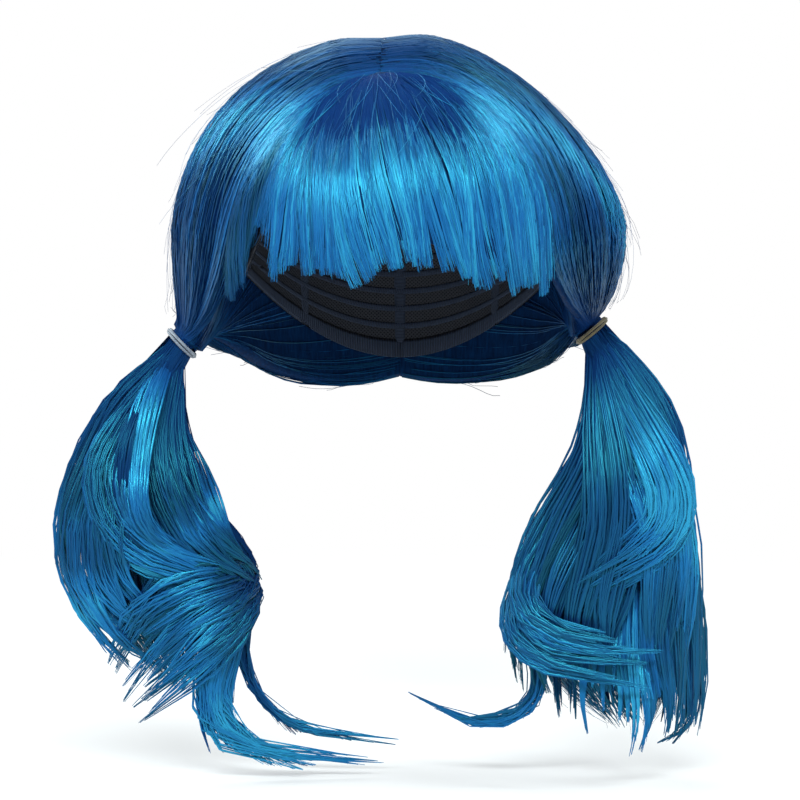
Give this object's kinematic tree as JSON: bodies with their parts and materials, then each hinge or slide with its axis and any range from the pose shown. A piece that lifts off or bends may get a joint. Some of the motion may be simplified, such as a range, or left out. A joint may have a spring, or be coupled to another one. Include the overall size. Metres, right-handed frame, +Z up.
{
  "type": "pigtail wig",
  "caption": "Synthetic hair wig on a net cap, parted above a full fringe and gathered into a long tied pigtail on each side.",
  "frame": {"origin": "where the crown of the head touches the inside of the cap", "axes": "+Z up, -Y towards the face, +X towards the right as seen from the front"},
  "size_m": [0.3064, 0.2151, 0.3487],
  "materials": {
    "hair": "glossy blue synthetic fibre, combed",
    "net": "matt dark net",
    "pale_elastic": "pale elastic cord, matt",
    "tan_elastic": "tan elastic cord, matt"
  },
  "bodies": {
    "root": {"wig_cap": "net", "hair_left": "hair", "hair_right": "hair", "fringe": "hair", "tie_left": "pale_elastic", "tie_right": "tan_elastic", "pigtail_left": "hair", "pigtail_right": "hair"}
  },
  "joints": []
}
